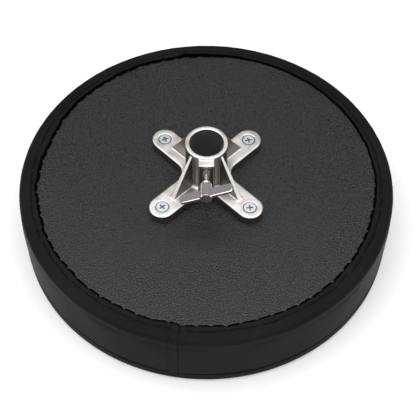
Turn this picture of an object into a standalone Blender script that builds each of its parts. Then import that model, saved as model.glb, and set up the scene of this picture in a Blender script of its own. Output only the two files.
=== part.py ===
"""Round upholstered drum-throne seat with a cast clamp bracket, lying on its seat face.

Units are metres and +Z is up. The origin is the middle of the seat face, which rests on
the ground. The bracket's post socket opens upwards and its clamp screw points along -Y.
Positive turns of the wing head about +Y tighten the screw and drive it along +Y.
"""

import math

import bmesh
import bpy
from mathutils import Matrix, Vector

MM = 0.001
GAP = 0.3 * MM

# Cushion, from the seat face on the ground to the folded hem at the top
SEAT_RADIUS = 150.0 * MM
HEM_TOP = 60.0 * MM
HEM_INNER_RADIUS = 135.5 * MM
VINYL = 0.9 * MM
SEAM_HEIGHT = 11.2 * MM
SEAM_GAP = 0.2 * MM
SEAT_CORNER = 4.5 * MM
HEM_CORNER = 4.0 * MM
PANEL_THICKNESS = 0.8 * MM
PANEL_RADIUS = 141.0 * MM
PANEL_TOP = HEM_TOP - VINYL - 0.2 * MM
BOARD_THICKNESS = 12.0 * MM
BOARD_RADIUS = 148.0 * MM
BOARD_TOP = PANEL_TOP - PANEL_THICKNESS - 0.2 * MM
BOARD_BOTTOM = BOARD_TOP - BOARD_THICKNESS
BOARD_EDGE = 1.0 * MM

# Cast bracket: a cross of four arms, a tube, four webs and a boss for the clamp screw
PLATE_BOTTOM = PANEL_TOP + 0.1 * MM
PLATE_TOP = PLATE_BOTTOM + 7.8 * MM
PLATE_EDGE = 0.9 * MM
ARM_HALF_WIDTH = 10.4 * MM
ARM_CROTCH = 12.0 * MM
SCREW_OFFSET = 34.0 * MM
SOCKET_TOP = PLATE_BOTTOM + 45.0 * MM
TUBE_RADIUS = 16.55 * MM
TUBE_FOOT = 3.0 * MM
BORE_RADIUS = 13.1 * MM
RIM_EDGE = 0.5 * MM
WEB_THICKNESS = 2.2 * MM
WEB_FOOT_THICKNESS = 4.4 * MM
WEB_ROOT = 15.0 * MM
WEB_TOP = SOCKET_TOP - 2.6 * MM
WEB_REACH = 37.5 * MM
BOSS_HALF_WIDTH = 6.1 * MM
BOSS_FRONT = -22.4 * MM
BOSS_TOP = SOCKET_TOP - 1.2 * MM
BOSS_EDGE = 0.6 * MM

# Clamp screw and its wing head, on one axis along Y
SCREW_AXIS_HEIGHT = SOCKET_TOP - 7.1 * MM
SHANK_RADIUS = 3.15 * MM
THREAD_RADIUS = 3.0 * MM
THREAD_START = BOSS_FRONT + 0.2 * MM
MOUTH_DEPTH = 3.5 * MM
SCREW_TIP = -13.6 * MM
TIP_EDGE = 0.6 * MM
HUB_BACK = -34.8 * MM
HUB_FRONT = -48.5 * MM
HUB_RADIUS = 4.9 * MM
HUB_CHAMFER = 1.5 * MM
HUB_EDGE = 0.5 * MM
HUB_HOLE_DEPTH = 8.4 * MM
WING_BACK = -40.1 * MM
WING_FRONT = -47.9 * MM
WING_SPAN = 43.0 * MM
WING_THICKNESS = 2.8 * MM
WING_CORNER = 2.6 * MM
WING_EDGE = 0.6 * MM
WING_TILT = math.radians(-22.7)

# Countersunk M5 screws and the tee nuts that they run into
SINK_RADIUS = 5.55 * MM
HEAD_DROP = 0.45 * MM
HEAD_RADIUS = 4.68 * MM
BODY_RADIUS = 2.5 * MM
CLEARANCE_RADIUS = 2.8 * MM
FIXING_TIP = 46.9 * MM
CROSS_LENGTH = 5.4 * MM
CROSS_WIDTH = 1.2 * MM
CROSS_DEPTH = 1.9 * MM
CROSS_TURNS = {"back_left": 25.0, "back_right": 15.0, "front_left": 42.0, "front_right": 8.0}
NUT_FLANGE_RADIUS = 8.5 * MM
NUT_FLANGE = 1.4 * MM
NUT_BARREL_RADIUS = 3.4 * MM
NUT_BARREL = 8.5 * MM
NUT_BOTTOM = BOARD_BOTTOM + 0.1 * MM

SEAT_SEGMENTS = 72
TUBE_SEGMENTS = 64
HUB_SEGMENTS = 48
SMALL_SEGMENTS = 24
CORNER_STEPS = 4
CORNERS = {
    "back_left": (-1, 1),
    "back_right": (1, 1),
    "front_left": (-1, -1),
    "front_right": (1, -1),
}


def clear_scene():
    """Removes whatever the scene holds."""
    for item in list(bpy.data.objects):
        bpy.data.objects.remove(item)


def finish_material(name, colour, roughness, metallic):
    """One Principled material."""
    material = bpy.data.materials.new(name)
    material.use_nodes = True
    shader = material.node_tree.nodes["Principled BSDF"]
    shader.inputs["Base Color"].default_value = (*colour, 1.0)
    shader.inputs["Roughness"].default_value = roughness
    shader.inputs["Metallic"].default_value = metallic
    return material


def solid(name, bm, matrix=None):
    """Makes an object from a bmesh, with its faces pointing out."""
    if matrix is not None:
        bm.transform(matrix)
    bmesh.ops.recalc_face_normals(bm, faces=bm.faces)
    mesh = bpy.data.meshes.new(name)
    bm.to_mesh(mesh)
    bm.free()
    item = bpy.data.objects.new(name, mesh)
    bpy.context.scene.collection.objects.link(item)
    return item


def arc(centre, radius, start, end, steps):
    """Points of an arc from start to end, in degrees, both ends included."""
    points = []
    for step in range(steps + 1):
        angle = math.radians(start + (end - start) * step / steps)
        points.append((centre[0] + radius * math.cos(angle), centre[1] + radius * math.sin(angle)))
    return points


def turned(name, profile, segments, matrix=None):
    """Turns a closed (radius, height) outline about +Z. A point on the axis is one vertex."""
    bm = bmesh.new()
    rings = []
    for radius, height in profile:
        if radius == 0.0:
            rings.append([bm.verts.new((0.0, 0.0, height))])
            continue
        ring = []
        for index in range(segments):
            angle = math.tau * index / segments
            ring.append(bm.verts.new((radius * math.cos(angle), radius * math.sin(angle), height)))
        rings.append(ring)
    for ring, following in zip(rings, rings[1:] + rings[:1]):
        for index in range(segments):
            after = (index + 1) % segments
            corners = [
                ring[index % len(ring)],
                ring[after % len(ring)],
                following[after % len(following)],
                following[index % len(following)],
            ]
            corners = list(dict.fromkeys(corners))
            if len(corners) > 2:
                bm.faces.new(corners)
    return solid(name, bm, matrix)


def extruded(name, outline, low, high, matrix=None, edge=0.0, both_ends=False):
    """Extrudes an outline in XY from low to high, with rounded rims where edge is given."""
    bm = bmesh.new()
    floor = bm.faces.new([bm.verts.new((x, y, low)) for x, y in outline])
    raised = bmesh.ops.extrude_face_region(bm, geom=[floor])
    lifted = [part for part in raised["geom"] if isinstance(part, bmesh.types.BMVert)]
    bmesh.ops.translate(bm, verts=lifted, vec=(0.0, 0.0, high - low))
    if edge > 0.0:
        heights = (low, high) if both_ends else (high,)
        rims = [e for e in bm.edges if any(on_level(e, height) for height in heights)]
        bmesh.ops.bevel(bm, geom=rims, offset=edge, segments=2, affect="EDGES", profile=0.5)
    return solid(name, bm, matrix)


def on_level(edge, height):
    """Whether both ends of an edge lie at this height."""
    return all(abs(vert.co.z - height) < 1e-6 for vert in edge.verts)


def combine(base, tools, operation):
    """Joins or cuts base with each tool in turn, and removes the tools."""
    for tool in tools:
        step = base.modifiers.new("combine", "BOOLEAN")
        step.object = tool
        step.operation = operation
        step.solver = "EXACT"
        bpy.context.view_layer.update()
        depsgraph = bpy.context.evaluated_depsgraph_get()
        result = bpy.data.meshes.new_from_object(base.evaluated_get(depsgraph))
        base.modifiers.clear()
        base.data = result
        bpy.data.objects.remove(tool)
    return base


def finished(item, material, sharp=40.0):
    """Gives a node its material and smooth shading with crisp edges."""
    item.data.materials.clear()
    item.data.materials.append(material)
    item.data.shade_smooth()
    item.data.set_sharp_from_angle(angle=math.radians(sharp))
    return item


def corner_places():
    """Name and place of each of the four fixing screws."""
    places = []
    for name, (side_x, side_y) in CORNERS.items():
        places.append((name, Vector((side_x * SCREW_OFFSET, side_y * SCREW_OFFSET, 0.0))))
    return places


def along_screw_axis():
    """Turns a profile's +Z into world +Y and lifts it to the clamp screw's axis."""
    return Matrix.Translation((0.0, 0.0, SCREW_AXIS_HEIGHT)) @ Matrix.Rotation(-math.pi / 2, 4, "X")


def drill(name, radius, low, high, place):
    """A plain round cutter along Z."""
    profile = [(0.0, low), (radius, low), (radius, high), (0.0, high)]
    return turned(name, profile, SMALL_SEGMENTS, Matrix.Translation(place))


def make_seat_panel(material):
    """The seat face: a vinyl disc whose edge turns up to the lower seam."""
    centre = (SEAT_RADIUS - SEAT_CORNER, SEAT_CORNER)
    top = SEAM_HEIGHT - SEAM_GAP / 2
    profile = [(0.0, 0.0)]
    profile += arc(centre, SEAT_CORNER, -90.0, 0.0, CORNER_STEPS)
    profile += [(SEAT_RADIUS, top), (SEAT_RADIUS - VINYL, top)]
    profile += arc(centre, SEAT_CORNER - VINYL, 0.0, -90.0, CORNER_STEPS)
    profile += [(0.0, VINYL)]
    return finished(turned("seat_panel", profile, SEAT_SEGMENTS), material)


def make_side_band(material):
    """The side band, from the lower seam up and over the board's edge to the hem."""
    centre = (SEAT_RADIUS - HEM_CORNER, HEM_TOP - HEM_CORNER)
    low = SEAM_HEIGHT + SEAM_GAP / 2
    profile = [(SEAT_RADIUS, low)]
    profile += arc(centre, HEM_CORNER, 0.0, 90.0, CORNER_STEPS)
    profile += [(HEM_INNER_RADIUS, HEM_TOP), (HEM_INNER_RADIUS, HEM_TOP - VINYL)]
    profile += arc(centre, HEM_CORNER - VINYL, 90.0, 0.0, CORNER_STEPS)
    profile += [(SEAT_RADIUS - VINYL, low)]
    return finished(turned("side_band", profile, SEAT_SEGMENTS), material)


def make_foam_pad(material):
    """The foam, from the seat face up to the board."""
    radius = SEAT_RADIUS - VINYL - GAP
    centre = (SEAT_RADIUS - SEAT_CORNER, SEAT_CORNER)
    top = BOARD_BOTTOM - GAP
    profile = [(0.0, VINYL + GAP)]
    profile += arc(centre, radius - centre[0], -90.0, 0.0, CORNER_STEPS)
    profile += [(radius, top), (0.0, top)]
    return finished(turned("foam_pad", profile, SEAT_SEGMENTS), material)


def make_base_board(material):
    """The plywood disc, drilled and counterbored for the tee nuts."""
    profile = [
        (0.0, BOARD_BOTTOM),
        (BOARD_RADIUS, BOARD_BOTTOM),
        (BOARD_RADIUS, BOARD_TOP - BOARD_EDGE),
        (BOARD_RADIUS - BOARD_EDGE, BOARD_TOP),
        (0.0, BOARD_TOP),
    ]
    board = turned("base_board", profile, SEAT_SEGMENTS)
    seat_depth = NUT_BOTTOM + NUT_FLANGE + GAP
    cutters = []
    for name, place in corner_places():
        low = BOARD_BOTTOM - 1.0 * MM
        barrel = drill("barrel_" + name, NUT_BARREL_RADIUS + GAP, low, BOARD_TOP + 1.0 * MM, place)
        flange = drill("flange_" + name, NUT_FLANGE_RADIUS + GAP, low, seat_depth, place)
        cutters += [barrel, flange]
    return finished(combine(board, cutters, "DIFFERENCE"), material)


def make_bottom_panel(material):
    """The leathercloth disc under the bracket, tucked under the hem, with four holes."""
    low = PANEL_TOP - PANEL_THICKNESS
    profile = [(0.0, low), (PANEL_RADIUS, low), (PANEL_RADIUS, PANEL_TOP), (0.0, PANEL_TOP)]
    panel = turned("bottom_panel", profile, SEAT_SEGMENTS)
    cutters = []
    for name, place in corner_places():
        cutters.append(drill("hole_" + name, CLEARANCE_RADIUS, low - MM, PANEL_TOP + MM, place))
    return finished(combine(panel, cutters, "DIFFERENCE"), material)


def cross_outline():
    """The plate's outline: four round-ended arms with round crotches between them."""
    reach = SCREW_OFFSET * math.sqrt(2.0)
    crotch = (ARM_HALF_WIDTH + ARM_CROTCH) * math.sqrt(2.0)
    outline = []
    for quarter in range(4):
        along = 45.0 + 90.0 * quarter
        angle = math.radians(along)
        end = (reach * math.cos(angle), reach * math.sin(angle))
        outline += arc(end, ARM_HALF_WIDTH, along - 90.0, along + 90.0, 12)
        between = math.radians(along + 45.0)
        hollow = (crotch * math.cos(between), crotch * math.sin(between))
        outline += arc(hollow, ARM_CROTCH, along + 270.0, along + 180.0, 8)
    return outline


def make_web(quarter):
    """One upright web, thicker at its foot, that slopes from the tube's top to an arm."""
    foot = PLATE_TOP - 2.0 * MM
    slope = (WEB_TOP - PLATE_TOP) / (WEB_REACH - TUBE_RADIUS)
    profile = [
        (WEB_ROOT, foot, WEB_FOOT_THICKNESS / 2),
        (WEB_REACH + 2.0 * MM / slope, foot, WEB_FOOT_THICKNESS / 2),
        (TUBE_RADIUS, WEB_TOP, WEB_THICKNESS / 2),
        (WEB_ROOT, WEB_TOP, WEB_THICKNESS / 2),
    ]
    bm = bmesh.new()
    near = [bm.verts.new((reach, -half, height)) for reach, height, half in profile]
    far = [bm.verts.new((reach, half, height)) for reach, height, half in profile]
    bm.faces.new(near)
    bm.faces.new(far[::-1])
    for index in range(4):
        after = (index + 1) % 4
        bm.faces.new([near[index], near[after], far[after], far[index]])
    return solid(f"web_{quarter}", bm, Matrix.Rotation(math.radians(45.0 + 90.0 * quarter), 4, "Z"))


def make_tube():
    """The socket's outside, with a round foot where it meets the plate."""
    foot = (TUBE_RADIUS + TUBE_FOOT, PLATE_TOP + TUBE_FOOT)
    profile = [(0.0, PLATE_BOTTOM + MM), (foot[0], PLATE_BOTTOM + MM)]
    profile += arc(foot, TUBE_FOOT, -90.0, -180.0, 4)
    profile += [
        (TUBE_RADIUS, SOCKET_TOP - RIM_EDGE),
        (TUBE_RADIUS - RIM_EDGE, SOCKET_TOP),
        (0.0, SOCKET_TOP),
    ]
    return turned("tube", profile, TUBE_SEGMENTS)


def make_boss():
    """The upright block in front of the tube that takes the clamp screw."""
    edge = BOSS_EDGE
    outline = [
        (BOSS_HALF_WIDTH, -WEB_ROOT),
        (-BOSS_HALF_WIDTH, -WEB_ROOT),
        (-BOSS_HALF_WIDTH, BOSS_FRONT + edge),
        (-BOSS_HALF_WIDTH + edge, BOSS_FRONT),
        (BOSS_HALF_WIDTH - edge, BOSS_FRONT),
        (BOSS_HALF_WIDTH, BOSS_FRONT + edge),
    ]
    return extruded("boss", outline, PLATE_BOTTOM, BOSS_TOP)


def make_bracket(material):
    """The casting: plate, tube, webs and boss in one, then its bore and holes."""
    bracket = extruded("socket_bracket", cross_outline(), PLATE_BOTTOM, PLATE_TOP, edge=PLATE_EDGE)
    additions = [make_boss()] + [make_web(quarter) for quarter in range(4)] + [make_tube()]
    combine(bracket, additions, "UNION")
    past = 2.0 * MM
    bore_profile = [
        (0.0, PLATE_BOTTOM - past),
        (BORE_RADIUS, PLATE_BOTTOM - past),
        (BORE_RADIUS, SOCKET_TOP - RIM_EDGE),
        (BORE_RADIUS + RIM_EDGE + past, SOCKET_TOP + past),
        (0.0, SOCKET_TOP + past),
    ]
    cutters = [turned("bore", bore_profile, TUBE_SEGMENTS)]
    mouth = BOSS_FRONT + MOUTH_DEPTH
    thread_profile = [
        (0.0, BOSS_FRONT - past),
        (SHANK_RADIUS + GAP, BOSS_FRONT - past),
        (SHANK_RADIUS + GAP, mouth),
        (THREAD_RADIUS + GAP, mouth),
        (THREAD_RADIUS + GAP, 0.0),
        (0.0, 0.0),
    ]
    cutters.append(turned("clamp_hole", thread_profile, SMALL_SEGMENTS, along_screw_axis()))
    neck = PLATE_TOP - (SINK_RADIUS - CLEARANCE_RADIUS)
    sink_profile = [
        (0.0, PLATE_BOTTOM - past),
        (CLEARANCE_RADIUS, PLATE_BOTTOM - past),
        (CLEARANCE_RADIUS, neck),
        (SINK_RADIUS + past, PLATE_TOP + past),
        (0.0, PLATE_TOP + past),
    ]
    for name, place in corner_places():
        matrix = Matrix.Translation(place)
        cutters.append(turned("sink_" + name, sink_profile, SMALL_SEGMENTS, matrix))
    return finished(combine(bracket, cutters, "DIFFERENCE"), material)


def make_bracket_screw(name, place, material):
    """One countersunk cross-head screw, its head just under the plate's face."""
    head_top = PLATE_TOP - HEAD_DROP
    head_bottom = head_top - (HEAD_RADIUS - BODY_RADIUS)
    profile = [
        (0.0, FIXING_TIP),
        (BODY_RADIUS - TIP_EDGE, FIXING_TIP),
        (BODY_RADIUS, FIXING_TIP + TIP_EDGE),
        (BODY_RADIUS, head_bottom),
        (HEAD_RADIUS, head_top),
        (0.0, head_top),
    ]
    screw = turned("bracket_screw_" + name, profile, SMALL_SEGMENTS, Matrix.Translation(place))
    turn = Matrix.Rotation(math.radians(CROSS_TURNS[name]), 4, "Z")
    half_long = CROSS_LENGTH / 2
    half_wide = CROSS_WIDTH / 2
    cross = [
        (half_long, half_wide),
        (half_wide, half_wide),
        (half_wide, half_long),
        (-half_wide, half_long),
        (-half_wide, half_wide),
        (-half_long, half_wide),
        (-half_long, -half_wide),
        (-half_wide, -half_wide),
        (-half_wide, -half_long),
        (half_wide, -half_long),
        (half_wide, -half_wide),
        (half_long, -half_wide),
    ]
    low = head_top - CROSS_DEPTH
    cutter = extruded("cross_" + name, cross, low, head_top + MM, Matrix.Translation(place) @ turn)
    return finished(combine(screw, [cutter], "DIFFERENCE"), material)


def make_tee_nut(name, place, material):
    """One tee nut: a threaded barrel on a round flange, pressed in from the foam's side."""
    flange_top = NUT_BOTTOM + NUT_FLANGE
    profile = [
        (CLEARANCE_RADIUS, NUT_BOTTOM),
        (NUT_FLANGE_RADIUS, NUT_BOTTOM),
        (NUT_FLANGE_RADIUS, flange_top),
        (NUT_BARREL_RADIUS, flange_top),
        (NUT_BARREL_RADIUS, flange_top + NUT_BARREL),
        (CLEARANCE_RADIUS, flange_top + NUT_BARREL),
    ]
    nut = turned("tee_nut_" + name, profile, SMALL_SEGMENTS, Matrix.Translation(place))
    return finished(nut, material)


def on_axis(item):
    """Moves an object's origin onto the clamp screw's axis, and leaves the mesh in place."""
    origin = Vector((0.0, 0.0, SCREW_AXIS_HEIGHT))
    item.data.transform(Matrix.Translation(-origin))
    item.location = origin
    return item


def make_clamp_screw(material):
    """The clamp screw: a plain shank in the wing head and the air, a thread in the boss."""
    profile = [
        (0.0, HUB_BACK - HUB_HOLE_DEPTH + GAP),
        (SHANK_RADIUS, HUB_BACK - HUB_HOLE_DEPTH + GAP),
        (SHANK_RADIUS, THREAD_START),
        (THREAD_RADIUS, THREAD_START),
        (THREAD_RADIUS, SCREW_TIP - TIP_EDGE),
        (THREAD_RADIUS - TIP_EDGE, SCREW_TIP),
        (0.0, SCREW_TIP),
    ]
    screw = turned("clamp_screw", profile, SMALL_SEGMENTS, along_screw_axis())
    return on_axis(finished(screw, material))


def wing_outline():
    """Both wings as one bar along X and Y, with round outer corners."""
    half = WING_SPAN / 2 - WING_CORNER
    front = WING_FRONT + WING_CORNER
    back = WING_BACK - WING_CORNER
    outline = arc((half, front), WING_CORNER, -90.0, 0.0, 5)
    outline += arc((half, back), WING_CORNER, 0.0, 90.0, 5)
    outline += arc((-half, back), WING_CORNER, 90.0, 180.0, 5)
    outline += arc((-half, front), WING_CORNER, 180.0, 270.0, 5)
    return outline


def make_wing_head(material):
    """The hub and its two wings, with a blind hole that holds the screw's shank."""
    hub_profile = [
        (0.0, HUB_FRONT),
        (HUB_RADIUS - HUB_EDGE, HUB_FRONT),
        (HUB_RADIUS, HUB_FRONT + HUB_EDGE),
        (HUB_RADIUS, HUB_BACK - HUB_CHAMFER),
        (HUB_RADIUS - HUB_CHAMFER, HUB_BACK),
        (0.0, HUB_BACK),
    ]
    hub = turned("wing_head", hub_profile, HUB_SEGMENTS, along_screw_axis())
    tilt = Matrix.Rotation(WING_TILT, 4, "Y")
    place = Matrix.Translation((0.0, 0.0, SCREW_AXIS_HEIGHT)) @ tilt
    half = WING_THICKNESS / 2
    wings = extruded("wings", wing_outline(), -half, half, place, edge=WING_EDGE, both_ends=True)
    combine(hub, [wings], "UNION")
    hole_profile = [
        (0.0, HUB_BACK - HUB_HOLE_DEPTH),
        (SHANK_RADIUS + GAP, HUB_BACK - HUB_HOLE_DEPTH),
        (SHANK_RADIUS + GAP, HUB_BACK + MM),
        (0.0, HUB_BACK + MM),
    ]
    hole = turned("hub_hole", hole_profile, HUB_SEGMENTS, along_screw_axis())
    return on_axis(finished(combine(hub, [hole], "DIFFERENCE"), material))


def main():
    """Builds every node of the seat."""
    clear_scene()
    side_vinyl = finish_material("side_vinyl", (0.022, 0.022, 0.023), 0.48, 0.0)
    seat_vinyl = finish_material("seat_vinyl", (0.022, 0.022, 0.023), 0.5, 0.0)
    leathercloth = finish_material("leathercloth", (0.03, 0.03, 0.031), 0.6, 0.0)
    foam = finish_material("foam", (0.55, 0.52, 0.42), 0.95, 0.0)
    plywood = finish_material("plywood", (0.5, 0.36, 0.21), 0.75, 0.0)
    casting = finish_material("cast_aluminium", (0.62, 0.58, 0.55), 0.42, 1.0)
    zinc = finish_material("zinc_plate", (0.6, 0.66, 0.7), 0.3, 1.0)
    chrome = finish_material("chrome", (0.72, 0.71, 0.7), 0.14, 1.0)

    make_seat_panel(seat_vinyl)
    make_side_band(side_vinyl)
    make_foam_pad(foam)
    make_base_board(plywood)
    make_bottom_panel(leathercloth)
    make_bracket(casting)
    for name, place in corner_places():
        make_bracket_screw(name, place, zinc)
        make_tee_nut(name, place, zinc)
    make_clamp_screw(chrome)
    make_wing_head(chrome)


main()
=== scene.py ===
"""Looks of a round drum-throne seat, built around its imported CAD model.

The seat lies on its seat face, with the clamp bracket on top. Lengths are in metres, in the
CAD model's frame: +Z is up, the ground is at zero and the clamp screw points towards -Y.
"""

import logging
import math
from dataclasses import dataclass, field
from enum import Enum
from typing import Iterable, Sequence

import bmesh
import bpy
import numpy as np
from mathutils import Matrix, Vector


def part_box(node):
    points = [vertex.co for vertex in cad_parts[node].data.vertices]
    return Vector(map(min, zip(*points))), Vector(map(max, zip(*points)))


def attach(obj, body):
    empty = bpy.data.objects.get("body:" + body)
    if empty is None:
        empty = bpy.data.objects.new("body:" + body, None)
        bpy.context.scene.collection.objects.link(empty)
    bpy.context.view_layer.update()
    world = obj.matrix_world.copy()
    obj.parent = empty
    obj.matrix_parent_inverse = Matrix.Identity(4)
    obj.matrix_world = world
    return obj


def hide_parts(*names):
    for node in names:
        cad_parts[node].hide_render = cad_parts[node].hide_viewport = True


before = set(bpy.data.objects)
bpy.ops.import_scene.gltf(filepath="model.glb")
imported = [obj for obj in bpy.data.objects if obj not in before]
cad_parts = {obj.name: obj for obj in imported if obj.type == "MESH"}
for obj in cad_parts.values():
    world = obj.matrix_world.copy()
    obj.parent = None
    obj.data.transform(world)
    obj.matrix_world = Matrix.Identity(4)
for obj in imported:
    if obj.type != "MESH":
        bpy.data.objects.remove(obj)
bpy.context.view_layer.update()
LOG = logging.getLogger("throne_seat")
MM = 0.001


class Body(str, Enum):
    """The CAD bodies that pieces ride on."""

    SEAT = "seat"
    SCREW = "clamp_screw"
    HEAD = "wing_head"


class Slot(str, Enum):
    """The record's material slots."""

    SEAT_VINYL = "seat_vinyl"
    SIDE_VINYL = "side_vinyl"
    FOAM = "foam"
    PLYWOOD = "plywood"
    LEATHERCLOTH = "leathercloth"
    CASTING = "cast_aluminium"
    ZINC = "zinc_plate"
    CHROME = "chrome"


# ---------------------------------------------------------------- materials


class NodeGraph:
    """One material's nodes, with short calls for those that the finishes share."""

    def __init__(self, name: str) -> None:
        """Makes the material.

        Args:
            name: The material's name.
        """
        self.material = bpy.data.materials.new(name)
        self.material.use_nodes = True
        self.tree = self.material.node_tree
        self.shader = self.tree.nodes["Principled BSDF"]
        self.place = self.tree.nodes.new("ShaderNodeTexCoord").outputs["Object"]

    def add(
        self, kind: str, inputs: dict, output: int | str = 0, **settings: object
    ) -> bpy.types.NodeSocket:
        """Adds a node.

        Args:
            kind: The node's type, without the word ShaderNode.
            inputs: Socket name or number to a value or to another node's output.
            output: Which output to return.
            **settings: The node's own settings.

        Returns:
            The output socket.
        """
        node = self.tree.nodes.new("ShaderNode" + kind)
        for key, value in settings.items():
            setattr(node, key, value)
        for key, value in inputs.items():
            self.feed(node.inputs[key], value)
        return node.outputs[output]

    def feed(self, socket: bpy.types.NodeSocket, value: object) -> None:
        """Links or sets one input socket.

        Args:
            socket: The input.
            value: An output socket to link, or a plain value.
        """
        if isinstance(value, bpy.types.NodeSocket):
            self.tree.links.new(value, socket)
        else:
            socket.default_value = value

    def noise(self, scale: float, detail: float = 3.0, place: object = None) -> bpy.types.NodeSocket:
        """A noise texture's value, from 0 to 1.

        Args:
            scale: Waves per metre, about.
            detail: How many finer layers it has.
            place: Coordinates other than the object's own.

        Returns:
            The output socket.
        """
        vector = self.place if place is None else place
        return self.add("TexNoise", {"Vector": vector, "Scale": scale, "Detail": detail})

    def cells(self, scale: float, feature: str = "F1", place: object = None) -> bpy.types.NodeSocket:
        """A Voronoi texture's distance.

        Args:
            scale: Cells per metre.
            feature: Blender's name for what is measured.
            place: Coordinates other than the object's own.

        Returns:
            The output socket.
        """
        vector = self.place if place is None else place
        inputs = {"Vector": vector, "Scale": scale}
        return self.add("TexVoronoi", inputs, output="Distance", feature=feature)

    def span(
        self, value: object, low: float, high: float, start: float, end: float
    ) -> bpy.types.NodeSocket:
        """Maps a value from one span to another, held at both ends.

        Args:
            value: The socket to map.
            low: The input that gives start.
            high: The input that gives end.
            start: The output at low.
            end: The output at high.

        Returns:
            The output socket.
        """
        inputs = {"Value": value, "From Min": low, "From Max": high, "To Min": start, "To Max": end}
        return self.add("MapRange", inputs)

    def sum(self, first: object, second: object, share: float = 1.0) -> bpy.types.NodeSocket:
        """first plus share times second."""
        inputs = {0: second, 1: share, 2: first}
        return self.add("Math", inputs, operation="MULTIPLY_ADD")

    def tint(self, factor: object, first: object, second: object) -> bpy.types.NodeSocket:
        """Mixes two colours by a factor.

        Args:
            factor: 0 gives the first colour and 1 the second.
            first: Red, green and blue, or a colour's socket.
            second: Red, green and blue, or a colour's socket.

        Returns:
            The colour output.
        """
        node = self.tree.nodes.new("ShaderNodeMix")
        node.data_type = "RGBA"
        self.feed(node.inputs["Factor"], factor)
        for key, colour in ((6, first), (7, second)):
            is_link = isinstance(colour, bpy.types.NodeSocket)
            self.feed(node.inputs[key], colour if is_link else (*colour, 1.0))
        return node.outputs[2]

    def bump(self, height: object, distance: float, below: object = None) -> bpy.types.NodeSocket:
        """A bump from a height.

        Args:
            height: The height's socket, about 0 to 1.
            distance: How high 1 stands, in metres.
            below: A bump that this one lies on.

        Returns:
            The normal output.
        """
        inputs = {"Height": height, "Distance": distance, "Strength": 1.0}
        if below is not None:
            inputs["Normal"] = below
        return self.add("Bump", inputs)

    def finish(self, **sockets: object) -> bpy.types.Material:
        """Feeds the shader's own sockets.

        Args:
            **sockets: Socket names with underscores for spaces.

        Returns:
            The material.
        """
        for key, value in sockets.items():
            self.feed(self.shader.inputs[key.replace("_", " ")], value)
        return self.material


@dataclass(frozen=True)
class VinylFinish:
    """Black upholstery vinyl: a fine pressed grain over a soft cloth backing."""

    name: str
    dark: tuple[float, float, float] = (0.0085, 0.0088, 0.0092)
    light: tuple[float, float, float] = (0.0125, 0.0128, 0.0132)
    grain: float = 1150.0
    grain_height: float = 0.035 * MM
    roughness: tuple[float, float] = (0.38, 0.48)
    specular: float = 0.02

    def material(self) -> bpy.types.Material:
        """Makes the material.

        Returns:
            The material.
        """
        graph = NodeGraph(self.name)
        warp = graph.add("VectorMath", {0: graph.place, 1: (1.0, 1.0, 1.25)}, operation="MULTIPLY")
        pebbles = graph.cells(self.grain, "SMOOTH_F1", warp)
        creases = graph.noise(self.grain * 0.45, 4.0)
        height = graph.sum(pebbles, creases, 0.8)
        drift = graph.noise(16.0, 2.0)
        wear = graph.noise(140.0, 4.0)
        colour = graph.tint(graph.span(drift, 0.3, 0.7, 0.0, 1.0), self.dark, self.light)
        rough = graph.span(graph.sum(drift, wear, 0.5), 0.45, 1.05, *self.roughness)
        return graph.finish(
            Base_Color=colour,
            Roughness=rough,
            Specular_IOR_Level=self.specular,
            Normal=graph.bump(height, self.grain_height),
        )


@dataclass(frozen=True)
class BackingFinish:
    """The black knitted back of the vinyl, seen where it is cut; on the bottom panel it also paints shade
    on the strip inside the hem's edge.
    """

    name: str

    def material(self) -> bpy.types.Material:
        """Makes the material.

        Returns:
            The material.
        """
        graph = NodeGraph(self.name)
        knit = graph.noise(3200.0, 3.0)
        colour = graph.tint(knit, (0.0008, 0.0008, 0.0009), (0.003, 0.003, 0.0032))
        normal = graph.bump(knit, 0.1 * MM)
        return graph.finish(Base_Color=colour, Roughness=1.0, Specular_IOR_Level=0.02, Normal=normal)


@dataclass(frozen=True)
class LeatherclothFinish:
    """Matt black leathercloth with a deep pebbled grain, its valleys painted darker as shade and its domes
    lighter.
    """

    name: str
    painted_valley_shade: tuple[float, float, float] = (0.0022, 0.0022, 0.0023)
    top: tuple[float, float, float] = (0.021, 0.021, 0.0214)
    pebble: float = 560.0
    height: float = 0.17 * MM
    roughness: tuple[float, float] = (0.17, 0.30)
    specular: float = 0.40

    def material(self) -> bpy.types.Material:
        """Makes the material.

        Returns:
            The material.
        """
        graph = NodeGraph(self.name)
        push = graph.add("TexNoise", {"Vector": graph.place, "Scale": 300.0}, output="Color")
        bend = graph.add("VectorMath", {0: push, 1: (0.0022, 0.0022, 0.0022)}, operation="MULTIPLY")
        moved = graph.add("VectorMath", {0: graph.place, 1: bend}, operation="ADD")
        pebbles = graph.cells(self.pebble, "DISTANCE_TO_EDGE", moved)
        domes = graph.span(pebbles, 0.0, 0.28, 0.0, 1.0)
        pores = graph.noise(2600.0, 3.0)
        height = graph.sum(domes, pores, 0.4)
        drift = graph.noise(11.0, 3.0)
        # painted shade: the pebbles' valleys take the dark colour and their domes the lighter top colour,
        # with random tone from drift
        shade = graph.sum(graph.span(domes, 0.0, 1.0, 0.0, 0.6), drift, 0.45)
        colour = graph.tint(shade, self.painted_valley_shade, self.top)
        rough = graph.span(graph.sum(drift, pores, 0.6), 0.5, 1.1, *self.roughness)
        return graph.finish(
            Base_Color=colour,
            Roughness=rough,
            Specular_IOR_Level=self.specular,
            Normal=graph.bump(height, self.height),
        )


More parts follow.
